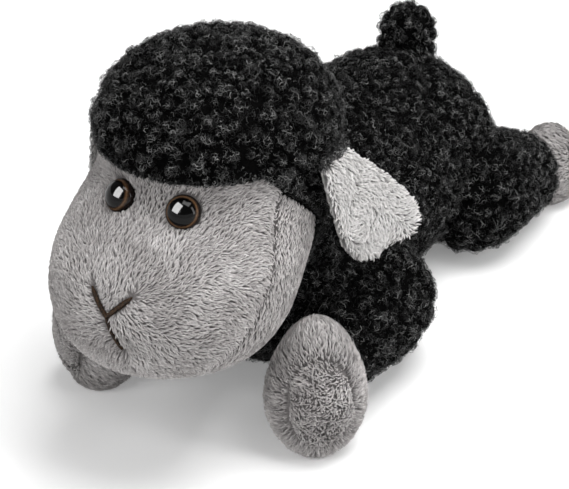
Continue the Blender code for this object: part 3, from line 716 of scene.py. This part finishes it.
def fleece(name, body_name, form, spacing, keep, rise, seed, replaces, grid, fibres, hidden_by=(), edge=None):
    """The fleece of one form, where keep is positive and no other form hides it."""
    def stay(points, depth=0.88):
        near = np.full(len(points), 9.0)
        for other in hidden_by:
            near = np.minimum(near, other.reach(points))
        return np.minimum(keep(points), near - depth)

    inside = -0.0004 if edge is None else 0.0040
    centres, normals = form.scatter(spacing, seed, lambda p: stay(p) > inside, FLEECE_UNEVEN)
    if edge is not None:
        fringe, fringe_normals = edge_places(form, edge, FRINGE_INSIDE, FRINGE_SPACING)
        clear = eye_distance(fringe) > EYE_RADIUS + FLEECE_FROM_EYE
        added = clear.sum()
        centres = np.concatenate([centres, fringe[clear]])
        normals = np.concatenate([normals, fringe_normals[clear]])
    rng = np.random.default_rng(seed + 1)
    sizes = rng.uniform(0.74, 1.24, len(centres))
    lifts = rng.uniform(-0.0003, 0.0010, len(centres))
    if edge is not None:
        sizes[-added:] = rng.uniform(0.66, 0.84, added)
        lifts[-added:] = 0.0
    tree = kdtree.KDTree(len(centres))
    for number, centre in enumerate(centres):
        tree.insert(centre, number)
    tree.balance()
    lump = spacing * 0.52

    def moved(points):
        number, away = np.array([tree.find(point)[1:] for point in points]).T
        wide = lump * sizes[number.astype(int)]
        return rise(points) + 0.8 * np.sqrt(np.clip(wide ** 2 - (away / 1.08) ** 2, 0, 1)) - 0.0003

    margin = 0.0012 if edge is None else -0.0006
    cloth = skin(f"{name}_cloth", form, *grid, moved, lambda points: stay(points, 0.55) + margin)
    dress(cloth, FLEECE_CLOTH, body_name, replaces)

    def cover(kind, places, ways, wide, count, points, step):
        def make(label, number, *part):
            made = locks(label, *part, count, seed + step * number, points)
            dress(made, FLEECE_STRANDS, body_name)

        in_parts(f"{name}_{kind}", make, [places, ways, wide], count * strand_faces(points))

    centres = centres + normals * (rise(centres) + lifts)[:, None]
    cover("locks", centres, normals, lump * sizes, fibres, LOCK_POINTS, 31)
    places, ways = form.scatter(
        spacing * 0.60, seed + 5, lambda p: stay(p) > inside - 0.0012, FLEECE_UNEVEN)
    places = places + ways * (rise(places) + 0.0006)[:, None]
    cover("wisps", places, ways, np.full(len(places), lump * 0.66), max(4, fibres // 5), WISP_POINTS, 37)


def level(value):
    """The same value all over."""
    return lambda points: np.full(len(points), value)


def cap_rise(points):
    return CAP_RISE * smooth(cap_edge(points), 0.0005, 0.004)


def cap_fleece(points):
    """Where the cap has fleece: inside its edge, and clear of the eyes."""
    return np.minimum(cap_edge(points), eye_distance(points) - EYE_RADIUS - FLEECE_FROM_EYE)


sleeves = [leg.sleeve for leg in legs.values()]
fleece("cap", "head", head, 0.0044, cap_fleece, cap_rise, 11, ["head_cap"], (230, 340), 30, edge=cap_edge)
fleece(
    "back", "body", body, 0.0046, lambda p: p[:, 2] - BELLY_SEAM_Z, level(-0.0012), 12, ["body_back_fleece"],
    (330, 260), 21, [head, neck, tail] + sleeves)
fleece(
    "neck", "body", neck, 0.0046, level(1.0), level(0.0004), 15, ["body_back_fleece"], (110, 150), 21,
    [head, body])
fleece(
    "belly", "body", body, 0.0046, lambda p: BELLY_SEAM_Z - p[:, 2], level(-0.0012), 13,
    ["body_belly_fleece"], (200, 160), 14, [head] + sleeves)
fleece("tail", "tail", tail, 0.0044, level(1.0), level(-0.0012), 14, ["tail_fleece"], (90, 110), 26, [body])
for (kind, word), leg in legs.items():
    fleece(
        f"{kind}_{word}_sleeve", f"{kind}_leg_{word}", leg.sleeve, 0.0045, level(1.0), level(-0.0004),
        20 + len(kind) + 3 * len(word), [f"{kind}_{word}_sleeve"], (140, 170), 21, [body, leg.foot])


# Plush: a smooth cloth with combed tufts, whose pile is short at the seam
FACE_PILE = Pile(0.00076, 0.0023, 0.00062, 0.00013, 9, 0.00029, 0.22)
THROAT_PILE = Pile(0.00082, 0.0021, 0.00048, 0.00014, 8, 0.00030, 0.18)
FOOT_PILE = Pile(0.00082, 0.0033, 0.00116, 0.00014, 9, 0.00031, 0.20)
SOLE_PILE = Pile(0.00078, 0.0017, 0.00095, 0.00013, 9, 0.00030, 0.40)
EAR_PILE = Pile(0.00096, 0.0028, 0.00095, 0.00014, 12, 0.00036, 0.22)


def cover_in_pile(name, body_name, slot, material, pile, seed, step, *arrays):
    """Tufts, from arrays of roots, normals, ways and lengths."""
    def make(label, number, *part):
        dress(tufts(label, *part, pile, seed + step * number), material, body_name)

    in_parts(f"{name}_pile", make, arrays, pile.strands * strand_faces(len(TUFT_STEPS)))


def plush(name, body_name, form, keep, dent, way, material, replaces, seed, grid, pile, slot, clear, seam):
    """The plush of one form, where keep is positive, with strands where it is clear."""
    cloth = skin(
        f"{name}_cloth", form, *grid, lambda p: -dent(p) - 0.0003 + 0.00015 * noise(p, 0.004, seed),
        lambda p: keep(p) + 0.0004)
    dress(cloth, PLUSH_CLOTH_PAINTED_SHADE, body_name, replaces)
    roots, normals = form.scatter(pile.spacing, seed, lambda p: (keep(p) > 0) & clear(p))
    roots = roots - normals * dent(roots)[:, None]
    ways = way(roots, normals)
    lengths = pile.length * (1 - bell(seam(roots), 0.5, 0.0012))
    cover_in_pile(name, body_name, slot, material, pile, seed, 17, roots, normals, ways, lengths)


def below_cap(points):
    return np.maximum(0.0008 - cap_edge(points), EYE_RADIUS + CLOTH_FROM_EYE - eye_distance(points))


NOSE_PLACE = head_front(np.array(0.0), np.array(NOSE_Z + 0.002))


def face_way(points, normals):
    """The pile runs away from the stitches, then out from the nose, in slow waves."""
    step = 0.0002
    here = nose_distance(points)
    slopes = [(nose_distance(points + step * axis) - here) / step for axis in (LEFT, UP)]
    from_line = slopes[0][:, None] * LEFT + slopes[1][:, None] * UP
    near = bell(here, 0.85, 0.0021)[:, None]
    out = unit(unit(points - NOSE_PLACE) * (1 - near) + from_line * near)
    beside = bell(face_edge(points), 1, 0.0035)[:, None]
    out = unit(out * (1 - 0.85 * beside) - 0.85 * beside * UP)
    turn = 0.42 * noise(points, 0.022, 5) + 0.34 * noise(points, 0.008, 6)
    return turned(out, normals, turn * (1 - 0.7 * beside[:, 0]))


def face_clear(points):
    """Clear of the eyes, the stitches, the crease in the chin, the seam and the body."""
    ragged = 0.00013 * np.sign(points[:, 0]) + 0.00020 * noise(points, 0.0013, 7)
    return (
        (eye_distance(points) > EYE_RADIUS - 0.0002)
        & (nose_distance(points) > 0.00054 + ragged)
        & (line_distance(points, CHIN_LINE) > 0.0003)
        & (np.abs(face_edge(points)) > 0.0004 + 0.0003 * smooth(points[:, 2], 0.066, 0.086))
        & (body.reach(points) > 0.96)
    )


def throat_way(points, normals):
    """Down, along the seam."""
    return turned(unit(-UP - 0.6 * BACK), normals, 0.3 * noise(points, 0.018, 16))


plush(
    "face", "head", head, lambda p: np.minimum(face_edge(p), below_cap(p)), head_dent, face_way,
    PLUSH_STRANDS, ["face"], 41, (170, 240), FACE_PILE, "plush", face_clear, face_edge)
plush(
    "throat", "head", head, lambda p: np.minimum(-face_edge(p), below_cap(p)), head_dent, throat_way,
    PLUSH_STRANDS, ["throat_band"], 42, (170, 240), THROAT_PILE, "plush", face_clear, face_edge)


def sole_way(points, normals):
    """Whorls."""
    turn = 1.7 * noise(points, 0.013, 9) + 0.5 * noise(points, 0.004, 10)
    return turned(unit(np.cross(normals, LEFT + 0.3 * UP)), normals, turn)


def foot_plush(kind, word, leg):
    """A foot and the sole that is sewn into its end."""
    def foot_dent(points):
        return bell(leg.sole_edge(points), *SOLE_DENT)

    def foot_way(points, normals):
        """The pile runs away from the sole's seam, round the foot."""
        rel = points - leg.middle
        out = unit(rel - 0.6 * dot(rel, leg.way)[:, None] * leg.way - 0.010 * leg.way)
        return turned(out, normals, 0.22 * noise(points, 0.014, 7) + 0.14 * noise(points, 0.005, 8))

    def foot_clear(points):
        off_seam = np.abs(leg.sole_edge(points)) > 0.00012
        return (leg.sleeve.reach(points) > 0.93) & (points[:, 2] > 0.0006) & off_seam

    tag, body_name = f"{kind}_{word}", f"{kind}_leg_{word}"
    plush(
        f"{tag}_foot", body_name, leg.foot, leg.sole_edge, foot_dent, foot_way, FOOT_STRANDS, [f"{tag}_foot"],
        50 + len(tag), (110, 130), FOOT_PILE, "plush", foot_clear, leg.sole_edge)
    plush(
        f"{tag}_sole", body_name, leg.foot, lambda p: -leg.sole_edge(p), foot_dent, sole_way, PLUSH_STRANDS,
        [f"{tag}_sole"], 70 + len(tag), (110, 130), SOLE_PILE, "sole_plush", foot_clear, leg.sole_edge)


for (kind, word), leg in legs.items():
    foot_plush(kind, word, leg)


# Ears: a cupped leaf of two panels, turned at the edge
class Ear:
    """An ear's root, the way down to its tip and the way outward."""

    def __init__(self, side):
        self.hinge = EAR_ROOT * np.array([side, 1, 1]) + SHIFT
        tip = np.array([EAR_SPLAY * side, EAR_SWEEP, 0])
        tip[2] = -math.sqrt(EAR_LENGTH ** 2 - tip @ tip)
        self.down = unit(tip)
        self.outward = unit(np.cross(self.down, BACK) * side)

    def place(self, u, v, face):
        """A place on the ear: u across from -1 to 1, v from root to tip, face 1 outside or -1 inside."""
        half = EAR_WIDTH / 2 * curve(EAR_SHARES, 1, v)
        rim = np.sqrt(np.clip(1 - u ** 2, 0, 1)) * np.sqrt(np.clip(1 - (2 * v - 1) ** 8, 0.0, 1))
        swell = EAR_HALF_THICKNESS * rim * (0.75 + 0.25 * v)
        lift = EAR_HALF_THICKNESS + EAR_CUP * u * u * v - EAR_TWIST * (1 - u) * v + face * swell
        spine = self.hinge + outer(EAR_LENGTH * v, self.down)
        return spine + outer(u * half, BACK) + outer(lift, self.outward)

    def normal(self, u, v, face):
        step = 1e-3
        u = np.clip(u, -1 + 3 * step, 1 - 3 * step)
        v = np.clip(v, 3 * step, 1 - 3 * step)
        a = self.place(u + step, v, face) - self.place(u - step, v, face)
        b = self.place(u, v + step, face) - self.place(u, v - step, face)
        out = unit(np.cross(a, b))
        return out * np.where(dot(out, self.outward * face) < 0, -1.0, 1.0)[..., None]


def ear_cloth(name, ear, side, face):
    """One panel, with closer corners towards its rim."""
    u = np.sin(np.linspace(-math.pi / 2, math.pi / 2, 41))
    v = (1 - np.cos(np.linspace(0, math.pi, 61))) / 2
    u, v = np.meshgrid(u, v, indexing="ij")
    index = np.arange(u.size).reshape(u.shape)
    triangles = quads(index[:-1, :-1], index[1:, :-1], index[1:, 1:], index[:-1, 1:])
    if face * side > 0:
        triangles = triangles[:, ::-1]
    return make_mesh(name, ear.place(u, v, face).reshape(-1, 3), triangles)


def ear_roots(spacing, seed):
    """Even places over an ear, as shares across it and along it."""
    count = int(0.875 * EAR_WIDTH * EAR_LENGTH / spacing ** 2)
    v, u = even_places(count)
    steps = 200
    share = curve(EAR_SHARES, 1, np.linspace(0, 1, steps)).cumsum()
    share = np.concatenate([[0], share]) / share[-1]
    v = np.interp(v % 1, share, np.linspace(0, 1, steps + 1))
    v = np.clip(v + np.random.default_rng(seed).normal(0, 0.006, count), 0.002, 0.998)
    return (u % 1 * 2 - 1) * 0.998, v


def ear_way(ear, u, v, roots, normals):
    """Down, out at the rim, and in whorls over the lower and front part."""
    over = 0.35 * u + 0.75 * u * smooth(np.abs(u), 0.72, 1.0)
    whorl = np.maximum(smooth(v, 0.40, 0.75), 0.8 * smooth(-u, 0.0, 0.7))
    whorl *= 1 - smooth(np.abs(u), 0.78, 0.97)
    turn = 0.26 * noise(roots, 0.010, 33) + 1.25 * noise(roots, 0.0085, 34) * whorl
    return turned(unit(ear.down + over[:, None] * BACK), normals, turn)


def ear_panel(word, side, layer, face):
    ear = Ear(side)
    name = f"ear_{word}_{layer}"
    dress(ear_cloth(f"{name}_cloth", ear, side, face), EAR_CLOTH_PAINTED_SHADE, f"ear_{word}", [name])
    u, v = ear_roots(EAR_PILE.spacing, 90 + side + face)
    roots, normals = ear.place(u, v, face), ear.normal(u, v, face)
    ways = ear_way(ear, u, v, roots, normals)
    lengths = EAR_PILE.length * (1 - 0.36 * smooth(np.maximum(np.abs(u), 2 * v - 1), 0.80, 1.0))
    cover_in_pile(
        name, f"ear_{word}", "ear_plush", EAR_STRANDS, EAR_PILE, 95, 1, roots, normals, ways, lengths)


for word, side in SIDES.items():
    for layer, face in (("back", 1), ("front", -1)):
        ear_panel(word, side, layer, face)


def root_locks(word, side):
    """Fleece that closes over an ear's root."""
    ear = Ear(side)
    rng = np.random.default_rng(140 + side)
    count = 9
    across = np.linspace(-1.15, 1.15, count)
    spots = ear.hinge + outer(across * EAR_WIDTH / 2 * EAR_SHARES[0][1], BACK)
    spots += outer(rng.uniform(0.0004, 0.0016, count), UP)
    spots += outer(rng.uniform(0.0006, 0.0022, count), LEFT * side)
    normals = np.tile(unit(LEFT * side + 0.5 * UP), (count, 1))
    made = locks(
        f"ear_{word}_root_locks", spots, normals, np.full(count, 0.0022), 42, 150 + side,
        curl=0.00042, width=0.00022)
    dress(made, FLEECE_STRANDS, "head")


for word, side in SIDES.items():
    root_locks(word, side)


# Eyes: a polished dome, black in the middle with a brown ring
def eye_material():
    made, nodes, links, shader = shader_material("eye_polish", 0.04, 0.16)
    place, split = map_place(nodes, links)
    streaks = add_node(nodes, "TexNoise", Scale=38.0, Detail=3.0)
    links.new(place, streaks.inputs["Vector"])
    amount = add_node(nodes, "Math")
    amount.operation = "MULTIPLY_ADD"
    amount.inputs[1].default_value = 0.06
    links.new(streaks.outputs[0], amount.inputs[0])
    links.new(split[1], amount.inputs[2])
    ring = ramp_node(nodes, (
        (0.0, grey(0.0006)), (0.78, grey(0.0006)), (0.82, (0.028, 0.015, 0.008)),
        (0.87, (0.110, 0.060, 0.029)), (0.92, (0.048, 0.026, 0.014)), (0.965, (0.008, 0.005, 0.004))))
    links.new(amount.outputs[0], ring.inputs[0])
    links.new(ring.outputs[0], shader.inputs["Base Color"])
    return made


EYE_POLISH = eye_material()


def lathe(name, profile, steps, base, axis):
    """A round piece: (radius, height) points turned about an axis, with the map's height as the share out."""
    profile = np.array(profile)
    across = unit(np.cross(axis, UP))
    upright = np.cross(axis, across)
    angle = np.linspace(0, 2 * math.pi, steps + 1)
    rim = outer(np.cos(angle), across) + outer(np.sin(angle), upright)
    verts = base + profile[:, 0, None, None] * rim[None] + profile[:, 1, None, None] * axis
    index = np.arange(len(profile) * (steps + 1)).reshape(len(profile), steps + 1)
    triangles = quads(index[:-1, :-1], index[1:, :-1], index[1:, 1:], index[:-1, 1:])
    share = np.maximum.accumulate(profile[:, 0]) / profile[:, 0].max()
    uv = np.stack([np.tile(angle / (2 * math.pi), len(profile)), np.repeat(share, steps + 1)], 1)
    return make_mesh(name, verts.reshape(-1, 3), triangles, np.clip(uv, 0.005, 0.995))


for word, (base, out) in EYES.items():
    turn = np.linspace(0.004, math.pi / 2, 22)
    dome = [(EYE_RADIUS * math.sin(a), EYE_DOME * math.cos(a) + EYE_WALL) for a in turn]
    dome += [(EYE_RADIUS, EYE_WALL / 2), (EYE_RADIUS * 0.97, 0), (EYE_RADIUS * 0.4, -0.0006)]
    made = lathe(f"eye_{word}_dome", dome, 64, base, out)
    dress(made, EYE_POLISH, "head", [f"eye_{word}"])


# Nose and mouth: satin stitches side by side, each a short thread over the line.
# Each stitch is (pitch, reach to a side, radius of the thread).
NOSE_SATIN = (0.00034, 0.00074, 0.00018)
MOUTH_SATIN = (0.00034, 0.00060, 0.00017)
THREAD = cloth_material(
    "thread", (0.005, 0.0025, 0.001), (0.070, 0.032, 0.010), 1500.0, 0.4, 0.0, 0.5, detail=2.0,
    stops=(0.38, 0.70), relief_depth=0.0002)


def satin(name, line, pitch, reach, radius, replaces):
    """Threads laid across a line on the face, each humped over it and sunk at both ends."""
    line = np.array(line)
    steps = np.linalg.norm(np.diff(line, axis=0), axis=1)
    total = steps.sum()
    at = np.arange(pitch / 2, total, pitch)
    marks = np.concatenate([[0], steps.cumsum()])
    x, z = np.interp(at, marks, line[:, 0]), np.interp(at, marks, line[:, 1])
    centre, out = head_front(x, z), head_normal(x, z)
    ahead = unit(np.gradient(centre, axis=0))
    side = np.cross(out, ahead)
    t = np.linspace(-1, 1, 9)
    lean, hump, sunk = 0.25, 0.0008, 0.0009
    taper = np.clip(np.minimum(at, total - at) / (5 * pitch), 0.3, 1)
    path = (
        centre[:, None]
        + side[:, None] * (t[:, None] * (reach * taper)[:, None, None])
        + ahead[:, None] * (t[:, None] * reach * lean)
        + out[:, None] * (hump * (1 - t ** 2) - sunk + 0.0002 * taper[:, None])[..., None]
    )
    sides = 6
    angle = around(sides)
    tangent = unit(np.gradient(path, axis=1))
    first = unit(np.cross(tangent, np.broadcast_to(out[:, None], tangent.shape)))
    second = np.cross(tangent, first)
    rim = first[:, :, None] * np.cos(angle)[:, None] + second[:, :, None] * np.sin(angle)[:, None]
    verts = path[:, :, None] + rim * radius
    index = np.arange(verts[..., 0].size).reshape(verts.shape[:3])
    a, b = index[:, :-1], index[:, 1:]
    a2, b2 = np.roll(a, -1, 2), np.roll(b, -1, 2)
    made = make_mesh(name, verts.reshape(-1, 3), quads(a, a2, b2, b))
    dress(made, THREAD, "head", replaces)


satin("nose_thread", [*NOSE_LINES[0], NOSE_LINES[1][1]], *NOSE_SATIN, ["nose_stitch"])
satin("mouth_thread", NOSE_LINES[2], *MOUTH_SATIN, ["mouth_stitch"])

# Inner pieces of the part keep their shape and get their cloth
for name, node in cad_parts.items():
    inner = STUFFING if name.endswith("stuffing") else WASHER if name.startswith("washer") else None
    if inner:
        node.data.materials.clear()
        node.data.materials.append(inner)

# Camera at the photograph's angle
CAMERA_PLACE = Vector((0.30822, -0.59810, 0.42009))
CAMERA_RIGHT = Vector((0.8825, 0.4702, 0.0))
CAMERA_UP = Vector((-0.2360, 0.4429, 0.8650))
CAMERA_AHEAD = Vector((-0.4067, 0.7634, -0.5018))
camera = linked("camera", bpy.data.cameras.new("camera"))
camera.data.sensor_width = 36.0
camera.data.lens = 125.5
camera.data.clip_start = 0.01
turn = Matrix((CAMERA_RIGHT, CAMERA_UP, -CAMERA_AHEAD)).transposed().to_4x4()
camera.matrix_world = Matrix.Translation(CAMERA_PLACE) @ turn
bpy.context.scene.camera = camera


# Floor, backdrop and light
def white_material(name, specular, near, far):
    """White with a glow that only the picture and mirrors see, stronger away from the toy."""
    made, nodes, links, shader = shader_material(name, 0.9, specular)
    shader.inputs["Base Color"].default_value = (0.92, 0.92, 0.92, 1)

    def combined(operation, first, second):
        node = add_node(nodes, "Math")
        node.operation = operation
        links.new(first, node.inputs[0])
        links.new(second, node.inputs[1])
        return node.outputs[0]

    path = add_node(nodes, "LightPath")
    seen = combined("MAXIMUM", path.outputs["Is Camera Ray"], path.outputs["Is Glossy Ray"])
    seen = combined("MAXIMUM", seen, path.outputs["Is Transmission Ray"])
    place = add_node(nodes, "TexCoord")
    length = add_node(nodes, "VectorMath")
    length.operation = "LENGTH"
    links.new(place.outputs["Object"], length.inputs[0])
    ramp = add_node(nodes, "MapRange")
    for number, value in enumerate((0.25, 1.2, near, far), 1):
        ramp.inputs[number].default_value = value
    links.new(length.outputs["Value"], ramp.inputs[0])
    shader.inputs["Emission Color"].default_value = (1, 1, 1, 1)
    links.new(combined("MULTIPLY", seen, ramp.outputs[0]), shader.inputs["Emission Strength"])
    return made


mesh = bpy.data.meshes.new("floor")
mesh.from_pydata([(-4, -4, 0), (4, -4, 0), (4, 4, 0), (-4, 4, 0)], [], [(0, 1, 2, 3)])
mesh.materials.append(white_material("floor_white", 0.1, 0.22, 0.9))
ground = linked("floor", mesh)

# A pale wall all round, far off
WALL_SIDES = 96
WALL_RADIUS = 3.5
angle = around(WALL_SIDES)
ring = np.stack([WALL_RADIUS * np.cos(angle), WALL_RADIUS * np.sin(angle)], 1)
corners = [(x, y, z) for z in (-0.01, 1.1) for x, y in ring]
pairs = [(k, (k + 1) % WALL_SIDES) for k in range(WALL_SIDES)]
mesh = bpy.data.meshes.new("backdrop")
mesh.from_pydata(corners, [], [(a, b, WALL_SIDES + b, WALL_SIDES + a) for a, b in pairs])
mesh.materials.append(white_material("backdrop_white", 0.5, 0.9, 1.0))
backdrop = linked("backdrop", mesh)

world = bpy.data.worlds.new("studio")
bpy.context.scene.world = world
world.use_nodes = True
background = world.node_tree.nodes["Background"]
background.inputs["Color"].default_value = (1, 1, 1, 1)
background.inputs["Strength"].default_value = 0.22


def softbox(name, place, aim, size, power):
    light = linked(name, bpy.data.lights.new(name, "AREA"))
    light.data.shape = "RECTANGLE"
    light.data.size, light.data.size_y = size
    light.data.energy = power
    light.location = place
    light.rotation_euler = (Vector(aim) - Vector(place)).to_track_quat("-Z", "Y").to_euler()
    return light


softbox("top_softbox", (0.30, 0.02, 1.22), (0, -0.02, 0.05), (0.8, 0.8), 15.2)
softbox("front_softbox", (-0.15, -1.15, 0.85), (0, -0.05, 0.06), (0.6, 0.5), 4.0)
softbox("right_softbox", (1.05, -0.05, 0.55), (0, 0, 0.05), (0.25, 0.8), 4.2)
# A window that only the eyes' gloss sees
window = softbox("window", (-0.35, -0.82, 0.87), (0, -0.11, 0.10), (0.86, 1.10), 130.0)
window.visible_diffuse = False
window.light_linking.receiver_collection = bpy.data.collections.new("eyes")
for word in EYES:
    window.light_linking.receiver_collection.objects.link(bpy.data.objects[f"eye_{word}_dome"])

bpy.context.scene.view_settings.view_transform = "Standard"
